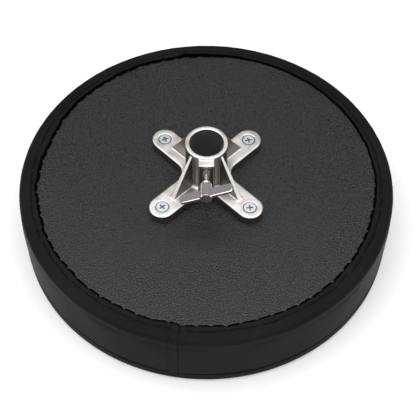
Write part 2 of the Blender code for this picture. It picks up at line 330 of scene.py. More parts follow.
@dataclass(frozen=True)
class CastFinish:
    """Cast aluminium: painted shade on its upright walls, and painted light on the faces that look up.

    The bore wall is painted lighter, for its scuffing by posts and as painted light inside it, and a ring
    of painted shade lies round each screw head.
    """

    name: str
    bore: float
    screw: tuple[float, float]
    head: float
    # painted shade: the colour of the upright walls and of the rings round the screw heads
    painted_shade_colour: tuple[float, float, float] = (0.225, 0.205, 0.186)
    scuffed_and_lit_bore: tuple[float, float, float] = (0.62, 0.60, 0.57)
    dull: tuple[float, float, float] = (0.60, 0.57, 0.55)
    bright: tuple[float, float, float] = (0.94, 0.91, 0.88)
    grain: float = 1500.0
    grain_height: float = 0.07 * MM
    roughness: tuple[float, float] = (0.30, 0.46)

    def material(self) -> bpy.types.Material:
        """Makes the material.

        Returns:
            The material.
        """
        graph = NodeGraph(self.name)
        grain = graph.noise(self.grain, 5.0)
        pits = graph.span(graph.cells(520.0), 0.0, 0.12, 0.0, 1.0)
        clouds = graph.noise(95.0, 4.0)
        facing = graph.add("TexCoord", {}, output="Normal")
        upward = graph.add("SeparateXYZ", {"Vector": facing}, output="Z")
        mottle = graph.span(clouds, 0.32, 0.62, 0.0, 0.6)
        speckle = graph.sum(mottle, graph.span(grain, 0.35, 0.65, 0.0, 1.0), 0.4)
        # painted light: faces that look up take the lighter face colours, upright ones the painted shade
        # colour
        painted_top_light = graph.span(graph.sum(upward, grain, 0.3), 0.34, 0.62, 0.0, 1.0)
        # the bore's wall takes a lighter colour, partly for its scuffing by posts and partly as painted
        # light inside the bore
        in_bore = self.near(graph, graph.place, (0.0, 0.0), self.bore + 0.6 * MM)
        mirrored = graph.add("VectorMath", {0: graph.place}, operation="ABSOLUTE")
        # painted shade: a ring round each screw head takes the shade colour
        painted_ring_shade = self.near(graph, mirrored, self.screw, self.head + 0.45 * MM)
        wall = graph.tint(in_bore, self.painted_shade_colour, self.scuffed_and_lit_bore)
        face = graph.tint(painted_ring_shade, graph.tint(speckle, self.dull, self.bright), self.painted_shade_colour)
        colour = graph.tint(painted_top_light, wall, face)
        rough = graph.span(graph.sum(clouds, grain, 0.7), 0.6, 1.1, *self.roughness)
        fine = graph.bump(graph.sum(grain, pits, 0.35), self.grain_height)
        ripple = graph.bump(graph.noise(170.0, 2.0), 0.05 * MM, fine)
        return graph.finish(Base_Color=colour, Metallic=1.0, Roughness=rough, Normal=ripple)

    @staticmethod
    def near(
        graph: NodeGraph, place: object, centre: tuple[float, float], reach: float
    ) -> bpy.types.NodeSocket:
        """1 within reach of an upright axis, falling to 0 just beyond it.

        Args:
            graph: The material's nodes.
            place: The coordinates' socket.
            centre: Where the axis stands in X and Y.
            reach: The distance from the axis.

        Returns:
            The output socket.
        """
        inputs = {0: place, 1: (1.0, 1.0, 0.0), 2: (-centre[0], -centre[1], 0.0)}
        offset = graph.add("VectorMath", inputs, operation="MULTIPLY_ADD")
        away = graph.add("VectorMath", {0: offset}, output="Value", operation="LENGTH")
        return graph.span(away, reach, reach + 0.3 * MM, 1.0, 0.0)


@dataclass(frozen=True)
class PlatedFinish:
    """Bright plating over steel or zinc: a base tint, soft smears and fine drawn lines."""

    name: str
    colour: tuple[float, float, float] = (0.74, 0.735, 0.725)
    smear: tuple[float, float, float] = (0.60, 0.59, 0.575)
    roughness: tuple[float, float] = (0.07, 0.2)
    wave: float = 0.012 * MM

    def material(self) -> bpy.types.Material:
        """Makes the material.

        Returns:
            The material.
        """
        graph = NodeGraph(self.name)
        smears = graph.noise(420.0, 4.0)
        colour = graph.tint(graph.span(smears, 0.4, 0.75, 0.0, 1.0), self.colour, self.smear)
        rough = graph.span(smears, 0.3, 0.7, *self.roughness)
        normal = graph.bump(graph.noise(260.0, 1.0), self.wave)
        return graph.finish(Base_Color=colour, Metallic=1.0, Roughness=rough, Normal=normal)


@dataclass(frozen=True)
class ZincFinish:
    """Blue-white zinc plate; below a height, in the drive recess, a darker and greener colour is painted as
    shade.
    """

    name: str
    recess_top: float
    face: tuple[float, float, float] = (0.94, 0.98, 1.0)
    painted_recess_shade: tuple[float, float, float] = (0.10, 0.30, 0.40)

    def material(self) -> bpy.types.Material:
        """Makes the material.

        Returns:
            The material.
        """
        graph = NodeGraph(self.name)
        height = graph.add("SeparateXYZ", {"Vector": graph.place}, output="Z")
        # painted shade: below the head's top the drive recess takes the darker recess colour
        low = graph.span(height, self.recess_top - 0.5 * MM, self.recess_top - 0.1 * MM, 1.0, 0.0)
        smears = graph.noise(900.0, 4.0)
        face = graph.tint(graph.span(smears, 0.35, 0.75, 0.0, 0.35), self.face, (0.6, 0.72, 0.8))
        colour = graph.tint(low, face, self.painted_recess_shade)
        rough = graph.span(smears, 0.3, 0.7, 0.24, 0.4)
        normal = graph.bump(smears, 0.012 * MM)
        return graph.finish(Base_Color=colour, Metallic=1.0, Roughness=rough, Normal=normal)


@dataclass(frozen=True)
class PlyFinish:
    """Birch plywood: long grain on the faces and thin dark glue lines round the edge."""

    name: str
    ply: float = 1.5 * MM

    def material(self) -> bpy.types.Material:
        """Makes the material.

        Returns:
            The material.
        """
        graph = NodeGraph(self.name)
        stretched = graph.add("VectorMath", {0: graph.place, 1: (4.0, 70.0, 9.0)}, operation="MULTIPLY")
        grain = graph.noise(6.0, 6.0, stretched)
        height = graph.add("SeparateXYZ", {"Vector": graph.place}, output="Z")
        plies = graph.add("Math", {0: height, 1: self.ply}, operation="PINGPONG")
        glue = graph.span(plies, 0.0, 0.12 * MM, 1.0, 0.0)
        wood = graph.tint(grain, (0.42, 0.27, 0.14), (0.66, 0.49, 0.31))
        colour = graph.tint(glue, wood, (0.13, 0.075, 0.04))
        normal = graph.bump(grain, 0.08 * MM)
        return graph.finish(Base_Color=colour, Roughness=0.72, Normal=normal)


@dataclass(frozen=True)
class FoamFinish:
    """Cut polyurethane foam with open cells."""

    name: str

    def material(self) -> bpy.types.Material:
        """Makes the material.

        Returns:
            The material.
        """
        graph = NodeGraph(self.name)
        pores = graph.span(graph.cells(900.0), 0.0, 0.5, 0.0, 1.0)
        colour = graph.tint(pores, (0.36, 0.32, 0.2), (0.74, 0.70, 0.54))
        return graph.finish(
            Base_Color=colour, Roughness=0.96, Specular_IOR_Level=0.2, Normal=graph.bump(pores, 0.5 * MM)
        )


@dataclass(frozen=True)
class FloorFinish:
    """A pale matt studio floor."""

    name: str
    shade: float = 0.9
    glow: float = 0.0

    def material(self) -> bpy.types.Material:
        """Makes the material.

        Returns:
            The material.
        """
        graph = NodeGraph(self.name)
        tone = graph.noise(3.0, 2.0)
        low = self.shade * 0.985
        colour = graph.tint(tone, (low, low, low), (self.shade,) * 3)
        return graph.finish(
            Base_Color=colour,
            Roughness=0.9,
            Specular_IOR_Level=0.1,
            Emission_Color=(1.0, 1.0, 1.0, 1.0),
            Emission_Strength=self.glow,
        )


# ---------------------------------------------------------------- mesh helpers


def link_piece(
    name: str, mesh: bpy.types.Mesh, material: bpy.types.Material | None = None
) -> bpy.types.Object:
    """Puts a mesh in the scene as one smooth-shaded piece.

    Args:
        name: The piece's name.
        mesh: Its mesh, in the row's frame.
        material: Its material, if it is to be seen.

    Returns:
        The piece.
    """
    if material is not None:
        mesh.materials.clear()
        mesh.materials.append(material)
    mesh.shade_smooth()
    piece = bpy.data.objects.new(name, mesh)
    bpy.context.scene.collection.objects.link(piece)
    return piece


def dress(piece: bpy.types.Object, body: Body, slot: Slot, *nodes: str) -> None:
    """Makes a piece ride on a body and stand for CAD nodes.

    Args:
        piece: The piece.
        body: The body that it moves with.
        slot: The record's material slot; not used.
        *nodes: The CAD nodes that it stands for.
    """
    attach(piece, body.value)
    if nodes:
        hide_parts(*nodes)


def give(slot: Slot, material: bpy.types.Material, *nodes: str) -> None:
    """Gives CAD nodes a finish.

    Args:
        slot: The record's material slot; not used.
        material: The material.
        *nodes: The nodes.
    """
    for name in nodes:
        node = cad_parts[name]
        node.data.materials.clear()
        node.data.materials.append(material)


def make_mesh(name: str, points: np.ndarray, faces: Sequence[Sequence[int]]) -> bpy.types.Mesh:
    """Makes a mesh with its faces turned outwards.

    Args:
        name: The mesh's name.
        points: One row of x, y, z for each vertex.
        faces: Vertex numbers of each face.

    Returns:
        The mesh.
    """
    mesh = bpy.data.meshes.new(name)
    mesh.from_pydata([tuple(point) for point in points], [], faces)
    mesh.validate()
    bm = bmesh.new()
    bm.from_mesh(mesh)
    bmesh.ops.recalc_face_normals(bm, faces=bm.faces)
    bm.to_mesh(mesh)
    bm.free()
    return mesh


def grid_faces(rows: int, columns: int, wrap_rows: bool = False) -> list[tuple[int, int, int, int]]:
    """Quads of a grid of rows by columns, whose columns close in a ring.

    Args:
        rows: Number of rows.
        columns: Number of columns.
        wrap_rows: Whether the last row joins the first, which makes a closed ring.

    Returns:
        The faces.
    """
    faces = []
    last = rows if wrap_rows else rows - 1
    for row in range(last):
        below = row * columns
        above = (row + 1) % rows * columns
        for column in range(columns):
            after = (column + 1) % columns
            faces.append((below + column, below + after, above + after, above + column))
    return faces


def ring_points(radius: np.ndarray, height: np.ndarray, angles: np.ndarray) -> np.ndarray:
    """Points of a grid given as radius and height for each row and column.

    Args:
        radius: Rows by columns.
        height: Rows by columns.
        angles: One angle for each column.

    Returns:
        One row of x, y, z for each vertex.
    """
    x = radius * np.cos(angles)[None, :]
    y = radius * np.sin(angles)[None, :]
    return np.stack([x, y, height], axis=-1).reshape(-1, 3)


def disc_mesh(name: str, radius: np.ndarray, height: np.ndarray, angles: np.ndarray) -> bpy.types.Mesh:
    """A closed round body, from rows that run from its lower centre out, round and back in.

    Args:
        name: The mesh's name.
        radius: Rows by columns.
        height: Rows by columns.
        angles: One angle for each column.

    Returns:
        The mesh: its quads row by row, then the fans of the lower and of the upper centre.
    """
    count = len(angles)
    points = ring_points(radius, height, angles)
    faces = grid_faces(len(radius), count)
    for base, centre in ((0, len(points)), ((len(radius) - 1) * count, len(points) + 1)):
        faces += [(base + column, base + (column + 1) % count, centre) for column in range(count)]
    centres = [(0.0, 0.0, float(height[row].mean())) for row in (0, -1)]
    return make_mesh(name, np.concatenate([points, centres]), faces)


def angle_from(angles: np.ndarray, centre: float) -> np.ndarray:
    """Signed angle of each column from a centre, within half a turn.

    Args:
        angles: The columns' angles, in radians.
        centre: The angle to measure from, in radians.

    Returns:
        The differences.
    """
    return (angles - centre + math.pi) % math.tau - math.pi


def bell(value: np.ndarray, width: float) -> np.ndarray:
    """A bell curve, 1 at zero.

    Args:
        value: Distances from the middle.
        width: The distance where it has fallen to 0.61.

    Returns:
        The curve's values.
    """
    return np.exp(-0.5 * (value / width) ** 2)


def ramp(value: np.ndarray, start: float, end: float) -> np.ndarray:
    """A smooth step from 0 at start to 1 at end.

    Args:
        value: Where to read it.
        start: Where it leaves 0.
        end: Where it reaches 1.

    Returns:
        The step's values.
    """
    share = np.clip((value - start) / (end - start), 0.0, 1.0)
    return share * share * (3.0 - 2.0 * share)


def wavering(angles: np.ndarray, seed: int, waves: Iterable[int], falloff: float) -> np.ndarray:
    """Smooth random variation round a ring, about -1 to 1.

    Args:
        angles: The columns' angles.
        seed: Seed of the random draws.
        waves: How many waves each layer has round the ring.
        falloff: Power by which a layer's size falls as its waves grow.

    Returns:
        One value for each column.
    """
    random = np.random.default_rng(seed)
    total = np.zeros_like(angles)
    weight = 0.0
    for count in waves:
        size = count ** -falloff
        total += size * np.cos(count * angles + random.uniform(0.0, math.tau))
        weight += size * size
    return total / math.sqrt(weight)


def run_along(points: np.ndarray) -> np.ndarray:
    """Length run along a line at each of its points.

    Args:
        points: One row of coordinates for each point.

    Returns:
        The lengths, from zero.
    """
    steps = np.linalg.norm(np.diff(points, axis=0), axis=1)
    return np.concatenate([[0.0], np.cumsum(steps)])


def per_row(values: np.ndarray, columns: int) -> np.ndarray:
    """A grid whose every column holds the given value of its row."""
    return np.repeat(values[:, None], columns, axis=1)


def node_copy(node: str, flatten: bool = False) -> bpy.types.Object:
    """A loose copy of a CAD node's shape, for modifiers to work on.

    Args:
        node: The CAD node's name.
        flatten: Whether the triangles of a flat face are joined into one.

    Returns:
        The copy, which take_shape removes again.
    """
    bm = bmesh.new()
    bm.from_mesh(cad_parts[node].data)
    bmesh.ops.remove_doubles(bm, verts=bm.verts, dist=0.001 * MM)
    if flatten:
        bmesh.ops.dissolve_limit(bm, angle_limit=math.radians(1.0), verts=bm.verts, edges=bm.edges)
    mesh = bpy.data.meshes.new(node + "_copy")
    bm.to_mesh(mesh)
    bm.free()
    return link_piece(node + "_copy", mesh)


def take_shape(worker: bpy.types.Object, name: str) -> bpy.types.Mesh:
    """Takes the mesh that an object's modifiers give, and removes the object.

    Args:
        worker: The object with modifiers.
        name: The new mesh's name.

    Returns:
        The new mesh.
    """
    bpy.context.view_layer.update()
    depsgraph = bpy.context.evaluated_depsgraph_get()
    mesh = bpy.data.meshes.new_from_object(worker.evaluated_get(depsgraph))
    mesh.name = name
    bpy.data.objects.remove(worker)
    return mesh


def softened_node(node: str, voxel: float, passes: int, keep: float) -> bpy.types.Mesh:
    """A CAD node's shape with its edges and corners rounded, as casting leaves them.

    Args:
        node: The CAD node's name.
        voxel: Size of the remesh.
        passes: How many times the surface is smoothed.
        keep: Share of the faces that is kept.

    Returns:
        The rounded mesh.
    """
    worker = node_copy(node)
    remesh = worker.modifiers.new("remesh", "REMESH")
    remesh.mode = "VOXEL"
    remesh.voxel_size = voxel
    smooth = worker.modifiers.new("smooth", "SMOOTH")
    smooth.factor = 0.5
    smooth.iterations = passes
    decimate = worker.modifiers.new("decimate", "DECIMATE")
    decimate.ratio = keep
    return take_shape(worker, node + "_soft")


def eased_node(node: str, width: float, sharper: float = 35.0) -> bpy.types.Mesh:
    """A CAD node's shape with its sharp edges rounded a little and its flat faces kept flat.

    Args:
        node: The CAD node's name.
        width: How wide the rounding is.
        sharper: Edges that bend more than this, in degrees, are rounded.

    Returns:
        The eased mesh.
    """
    worker = node_copy(node, flatten=True)
    bevel = worker.modifiers.new("bevel", "BEVEL")
    bevel.width = width
    bevel.segments = 2
    bevel.limit_method = "ANGLE"
    bevel.angle_limit = math.radians(sharper)
    shading = worker.modifiers.new("shading", "WEIGHTED_NORMAL")
    shading.weight = 100
    shading.thresh = 0.0001
    return take_shape(worker, node + "_eased")


# ---------------------------------------------------------------- cushion


@dataclass(frozen=True)
class Tuck:
    """A radial crease in the hem, where the band's spare length is gathered."""

    angle: float
    depth: float
    reach: float
    width: float = 0.6 * MM
    hem_shift: float = 0.0


@dataclass
class Cushion:
    """The vinyl cover: side band with its hem, seat panel, stitching and staples."""

    hem_radius: float = 136.2 * MM
    vinyl: float = 0.9 * MM
    seam_height: float = 11.2 * MM
    seam_depth: float = 0.9 * MM
    seam_width: float = 0.75 * MM
    fold: float = 5.5 * MM
    seat_corner: float = 4.5 * MM
    columns: int = 880
    side_rows: int = 46
    fold_rows: int = 9
    rim_rows: int = 20
    cloth_rows: tuple[int, int, int] = (14, 4, 7)
    swell_limits: tuple[float, float] = (-0.4 * MM, 1.4 * MM)
    staples: int = 76
    staple_setback: float = 3.7 * MM
    staple_length: float = 10.2 * MM
    joint_edge: float = math.radians(-100.1)
    joint_stitch: float = math.radians(-97.45)
    thread: float = 0.3 * MM
    seam_stitch: float = 3.6 * MM
    joint_pitch: float = 3.3 * MM
    seed: int = 11
    radius: float = field(init=False)
    hem_top: float = field(init=False)
    angles: np.ndarray = field(init=False)
    tucks: list[Tuck] = field(init=False)
    staple_angles: np.ndarray = field(init=False)
    staple_yaw: np.ndarray = field(init=False)
    staple_shift: np.ndarray = field(init=False)
    surface: tuple[np.ndarray, np.ndarray, np.ndarray] = field(init=False)

    def __post_init__(self) -> None:
        """Takes the outline from the CAD and lays out the columns."""
        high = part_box("side_band")[1]
        self.radius = high.x
        self.hem_top = high.z
        even = np.linspace(0.0, math.tau, self.columns, endpoint=False)
        close = np.radians(np.arange(-1.2, 5.0, 0.06)) + self.joint_edge
        self.angles = np.unique(np.round(np.concatenate([even, close % math.tau]), 7))
        random = np.random.default_rng(self.seed)
        spread = math.tau / self.staples
        jitter = random.uniform(-0.16, 0.16, self.staples)
        self.staple_angles = (np.arange(self.staples) + jitter) * spread
        self.staple_yaw = np.radians(random.uniform(-7.0, 7.0, self.staples))
        self.staple_shift = random.uniform(-0.5, 0.5, self.staples) * MM
        self.tucks = self.hem_tucks()

    def hem_tucks(self) -> list[Tuck]:
        """The creases of the hem: the deep ones in their places, and small ones between.

        Returns:
            The creases, in no order.
        """
        deep = [
            Tuck(math.radians(183.2), 0.9 * MM, 7.0 * MM, 0.5 * MM, 1.0 * MM),
            Tuck(math.radians(202.6), 1.1 * MM, 8.5 * MM, 0.6 * MM, 0.4 * MM),
            Tuck(math.radians(98.5), 0.7 * MM, 6.0 * MM, 0.6 * MM, 0.5 * MM),
            Tuck(math.radians(87.0), 0.6 * MM, 6.0 * MM, 0.6 * MM, -0.4 * MM),
            Tuck(math.radians(262.5), 0.7 * MM, 8.0 * MM, 0.6 * MM, 0.6 * MM),
        ]
        random = np.random.default_rng(self.seed + 1)
        small = []
        for index in range(34):
            angle = (index + random.uniform(0.15, 0.85)) * math.tau / 34
            depth = random.uniform(0.12, 0.42) * MM
            reach = random.uniform(3.0, 9.0) * MM
            shift = random.uniform(-0.35, 0.45) * MM
            small.append(Tuck(angle, depth, reach, random.uniform(0.5, 1.1) * MM, shift))
        return deep + small

    def hem_line(self) -> np.ndarray:
        """Radius of the hem's cut edge at each column: nearly round, with small nicks.

        Returns:
            One radius for each column.
        """
        line = np.full_like(self.angles, self.hem_radius)
        line -= 1.7 * MM * bell(angle_from(self.angles, math.radians(163.0)), math.radians(9.0))
        line += 0.30 * MM * wavering(self.angles, self.seed + 2, range(5, 60), 0.6)
        line += 0.16 * MM * wavering(self.angles, self.seed + 3, range(80, 260, 3), 0.2)
        for tuck in self.tucks:
            away = angle_from(self.angles, tuck.angle) * self.hem_radius
            line += tuck.depth * 1.1 * bell(away, tuck.width * 1.4)
            line += tuck.hem_shift * bell(away - 3.0 * MM, 4.0 * MM)
        return line

    def hem_lift(self) -> np.ndarray:
        """How far the hem's edge stands off the panel at each column.

        Returns:
            One height for each column.
        """
        lift = 0.25 * MM * (1.0 + wavering(self.angles, self.seed + 4, range(9, 70), 0.5))
        lift += 1.3 * MM * bell(angle_from(self.angles, math.radians(97.0)), math.radians(2.6))
        lift += 0.9 * MM * bell(angle_from(self.angles, math.radians(88.5)), math.radians(3.0))
        lift += 0.6 * MM * bell(angle_from(self.angles, math.radians(176.0)), math.radians(3.2))
        return np.clip(lift, 0.0, 2.0 * MM)

    def stations(self, rows: tuple[int, int, int]) -> np.ndarray:
        """The band's outline from the seam to the hem.

        Args:
            rows: Number of steps up the side, round the fold and across the rim.

        Returns:
            For each row: radius, height, the normal's two parts and the share across the rim.
        """
        side, bend, rim = rows
        low = self.seam_height
        top = self.hem_top - self.fold
        lines = []
        for step in range(side):
            share = (step / side) ** 1.15
            lines.append((self.radius, low + (top - low) * share, 1.0, 0.0, 0.0))
        for step in range(bend):
            angle = 0.5 * math.pi * step / bend
            r = self.radius - self.fold + self.fold * math.cos(angle)
            z = top + self.fold * math.sin(angle)
            lines.append((r, z, math.cos(angle), math.sin(angle), 0.0))
        for step in range(rim + 1):
            share = step / rim
            r = self.radius - self.fold - (self.radius - self.fold - self.hem_radius) * share
            lines.append((r, self.hem_top, 0.0, 1.0, share))
        return np.array(lines)

    def simulate(self) -> tuple[np.ndarray, np.ndarray]:
        """Blows the cover up against its staples with cloth, so it swells between them.

        Returns:
            The coarse columns' angles, and the swell along the normal for each row and column.
        """
        count = 4 * self.staples
        stations = self.stations(self.cloth_rows)
        angles = np.arange(count) * math.tau / count
        points = ring_points(per_row(stations[:, 0], count), per_row(stations[:, 1], count), angles)
        faces = grid_faces(len(stations), count)
        top = (len(stations) - 1) * count
        faces += [tuple(range(count))[::-1], tuple(range(top, top + count))]
        piece = link_piece("cover_cloth", make_mesh("cover_cloth", points, faces))
        pins = piece.vertex_groups.new(name="pins")
        side, bend, rim = self.cloth_rows
        inward = 1.0 - self.staple_setback / (self.radius - self.fold - self.hem_radius)
        staple_row = (side + bend + int(round(inward * rim))) * count
        held = list(range(count)) + list(range(top, top + count))
        held += [staple_row + column for column in range(count) if column % 4 < 2]
        pins.add(held, 1.0, "REPLACE")
        cloth = piece.modifiers.new("cloth", "CLOTH")
        cloth.settings.quality = 5
        cloth.settings.mass = 0.35
        cloth.settings.tension_stiffness = 25.0
        cloth.settings.compression_stiffness = 25.0
        cloth.settings.shear_stiffness = 8.0
        cloth.settings.bending_stiffness = 1.5
        cloth.settings.use_pressure = True
        cloth.settings.uniform_pressure_force = 3.0
        cloth.settings.vertex_group_mass = "pins"
        cloth.settings.effector_weights.gravity = 0.0
        cloth.collision_settings.use_collision = False
        scene = bpy.context.scene
        for number in range(1, 21):
            scene.frame_set(number)
        mesh = take_shape(piece, "cover_swollen")
        moved = np.array([vertex.co for vertex in mesh.vertices]) - points
        scene.frame_set(1)
        outward = ring_points(per_row(stations[:, 2], count), per_row(stations[:, 3], count), angles)
        swell = np.sum(moved * outward, axis=1).reshape(len(stations), count)
        LOG.info("cover cloth swell %.2f to %.2f mm", swell.min() / MM, swell.max() / MM)
        return angles, np.clip(swell, *self.swell_limits)

    def swell_at(self, stations: np.ndarray) -> np.ndarray:
        """The simulated swell, read at every fine row and column.

        Args:
            stations: The fine outline.

        Returns:
            Rows by columns, zero where the simulation is skipped.
        """
        angles, coarse = self.simulate()
        around = [np.interp(self.angles, angles, row, period=math.tau) for row in coarse]
        coarse_run = run_along(self.stations(self.cloth_rows)[:, :2])
        fine_run = run_along(stations[:, :2])
        columns = [np.interp(fine_run, coarse_run, column) for column in np.transpose(around)]
        return np.transpose(columns)

    def relief(self, stations: np.ndarray, reach: np.ndarray) -> np.ndarray:
        """Relief of the band along its normal.

        Args:
            stations: The fine outline.
            reach: Radius at each row and column.

        Returns:
            Rows by columns, in metres.
        """
        height = stations[:, 1][:, None]
        relief = self.slack_relief(height)
        relief += self.staple_relief(stations, reach)
        relief += self.tuck_relief(height, reach)
        relief += ramp(stations[:, 4][:, None], 0.55, 1.0) * self.hem_lift()[None, :]
        relief += self.joint_relief(reach)
        return relief + self.seam_relief(height)

    def slack_relief(self, height: np.ndarray) -> np.ndarray:
        """The band's uneven tightness: soft waves down the side, and a hollow under the fold.

        Args:
            height: Height of each row.

        Returns:
            Rows by columns, in metres.
        """
        slow = wavering(self.angles, self.seed + 5, range(2, 9), 0.7)
        middle = wavering(self.angles, self.seed + 6, range(6, 26), 0.5)
        share = (height - self.seam_height) / (self.hem_top - self.seam_height)
        body = np.sin(np.clip(share, 0.0, 1.0) * math.pi)
        down = np.clip(self.hem_top - height, 0.0, None)
        hollow = 0.35 * MM * bell(down - 7.0 * MM, 3.2 * MM) * (1.0 + 0.6 * middle)[None, :]
        return body * (0.30 * MM * slow + 0.22 * MM * middle)[None, :] - hollow

    def staple_relief(self, stations: np.ndarray, reach: np.ndarray) -> np.ndarray:
        """The dents of the staples, and the vinyl drawn in outside them.

        Args:
            stations: The fine outline.
            reach: Radius at each row and column.

        Returns:
            Rows by columns, in metres.
        """
        across = stations[:, 4][:, None]
        on_rim = (stations[:, 3] > 0.999)[:, None]
        down = np.clip(self.hem_top - stations[:, 1][:, None], 0.0, None)
        drawn = np.exp(-down / (9.0 * MM)) * (0.4 + 0.6 * (1.0 - across))
        relief = np.zeros_like(reach)
        for angle, shift in zip(self.staple_angles, self.staple_shift):
            sideways = angle_from(self.angles, angle)[None, :] * reach
            outward = reach - (self.hem_radius + self.staple_setback + shift)
            crown = bell(np.clip(np.abs(sideways) - self.staple_length / 2, 0.0, None), 0.9 * MM)
            relief -= self.dent_depth(angle) * crown * bell(outward, 0.95 * MM) * on_rim
            relief -= 0.16 * MM * bell(sideways, 3.2 * MM) * ramp(outward, -1.0 * MM, 2.0 * MM) * drawn
        return relief

    def tuck_relief(self, height: np.ndarray, reach: np.ndarray) -> np.ndarray:
        """The hem's creases, each with a small fold beside it.

        Args:
            height: Height of each row.
            reach: Radius at each row and column.

        Returns:
            Rows by columns, in metres.
        """
        down = np.clip(self.hem_top - height, 0.0, None)
        relief = np.zeros_like(reach)
        for tuck in self.tucks:
            sideways = angle_from(self.angles, tuck.angle)[None, :] * reach
            fade = 1.0 - ramp(reach - self.hem_radius + down, tuck.reach * 0.5, tuck.reach)
            relief -= tuck.depth * bell(sideways, tuck.width) * fade
            relief += 0.55 * tuck.depth * bell(sideways - 2.0 * tuck.width, 1.6 * tuck.width) * fade
        return relief

    def seam_relief(self, height: np.ndarray) -> np.ndarray:
        """The lower seam, pulled in and puckered by its thread.

        Args:
            height: Height of each row.

        Returns:
            Rows by columns, in metres.
        """
        seam = np.clip(height - self.seam_height, 0.0, None)
        pulled = self.seam_depth * np.exp(-((seam / self.seam_width) ** 1.3))
        return 0.10 * MM * np.exp(-seam / (2.2 * MM)) * self.pucker()[None, :] - pulled

    def pucker(self) -> np.ndarray:
        """The seam's pucker at each column, about -1 to 1."""
        return wavering(self.angles, self.seed + 7, range(140, 330, 7), 0.0)

    @staticmethod
    def dent_depth(angle: float) -> float:
        """How deep a staple is pulled in: deepest on the -X side and at the +X front.

        Args:
            angle: The staple's azimuth.

        Returns:
            Depth in metres.
        """
        left = float(bell(angle_from(angle, math.radians(164.0)), math.radians(18.0)))
        right = float(bell(angle_from(angle, math.radians(-25.0)), math.radians(7.0)))
        return (0.17 + 0.45 * max(left, right)) * MM

    def joint_relief(self, reach: np.ndarray) -> np.ndarray:
        """The lapped joint of the band: a folded edge, a flat lap and a sunk row of stitches.

        Args:
            reach: Radius at each row and column.

        Returns:
            Rows by columns, in metres.
        """
        from_edge = angle_from(self.angles, self.joint_edge)[None, :] * reach
        from_stitch = angle_from(self.angles, self.joint_stitch)[None, :] * reach
        lap = ramp(from_edge, -0.15 * MM, 0.3 * MM) * (1.0 - ramp(from_stitch, 0.6 * MM, 9.0 * MM))
        roll = bell(from_edge - 0.9 * MM, 0.7 * MM)
        under = bell(from_edge + 0.7 * MM, 0.5 * MM)
        sunk = bell(from_stitch, 0.55 * MM)
        return 0.62 * MM * lap + 0.16 * MM * roll - 0.30 * MM * under - 0.42 * MM * sunk

    def build_band(self, material: bpy.types.Material) -> bpy.types.Object:
        """The side band with its fold, rim, staple dents and cut hem, as a closed shell.

        Args:
            material: Looks of its outer face.

        Returns:
            The band, with its backing as a second material.
        """
        stations = self.stations((self.side_rows, self.fold_rows, self.rim_rows))
        hem = self.hem_line()[None, :]
        across = stations[:, 4][:, None]
        shoulder = self.radius - self.fold
        flat = stations[:, 0][:, None] + np.zeros_like(hem)
        reach = np.where(stations[:, 3][:, None] > 0.999, shoulder - (shoulder - hem) * across, flat)
        relief = self.relief(stations, reach) + self.swell_at(stations)
        radius = reach + stations[:, 2][:, None] * relief
        height = stations[:, 1][:, None] + stations[:, 3][:, None] * relief
        lip_radius, lip_height = self.hem_edge(radius[-1], height[-1])
        inner_radius = radius - stations[:, 2][:, None] * self.vinyl
        inner_height = height - stations[:, 3][:, None] * self.vinyl
        keep = slice(None, len(stations) - 2)
        back_radius = inner_radius[keep][::-1]
        back_height = inner_height[keep][::-1]
        all_radius = np.concatenate([radius, lip_radius, back_radius])
        all_height = np.concatenate([height, lip_height, back_height])
        points = ring_points(all_radius, all_height, self.angles)
        faces = grid_faces(len(all_radius), len(self.angles), wrap_rows=True)
        band = link_piece("side_band_cover", make_mesh("side_band_cover", points, faces), material)
        band.data.materials.append(BackingFinish("vinyl_back_looks").material())
        backed = np.arange(len(faces)) // len(self.angles) >= len(stations) - 1
        band.data.polygons.foreach_set("material_index", backed.astype(np.int32))
        self.surface = (stations, radius, height)
        return band

    def hem_edge(self, radius: np.ndarray, height: np.ndarray) -> tuple[np.ndarray, np.ndarray]:
        """The rounded cut edge of the hem, from its top to its underside.

        Args:
            radius: Radius of the last row on top.
            height: Height of the last row on top.

        Returns:
            Radius and height of the edge's rows.
        """
        outline = ((0.12, 0.03), (0.55, 0.26), (0.85, 0.55), (0.80, 0.86), (0.2, 0.98))
        edge_radius = [radius - inward * MM for inward, _ in outline]
        edge_height = [height - share * self.vinyl for _, share in outline]
        return np.array(edge_radius), np.array(edge_height)

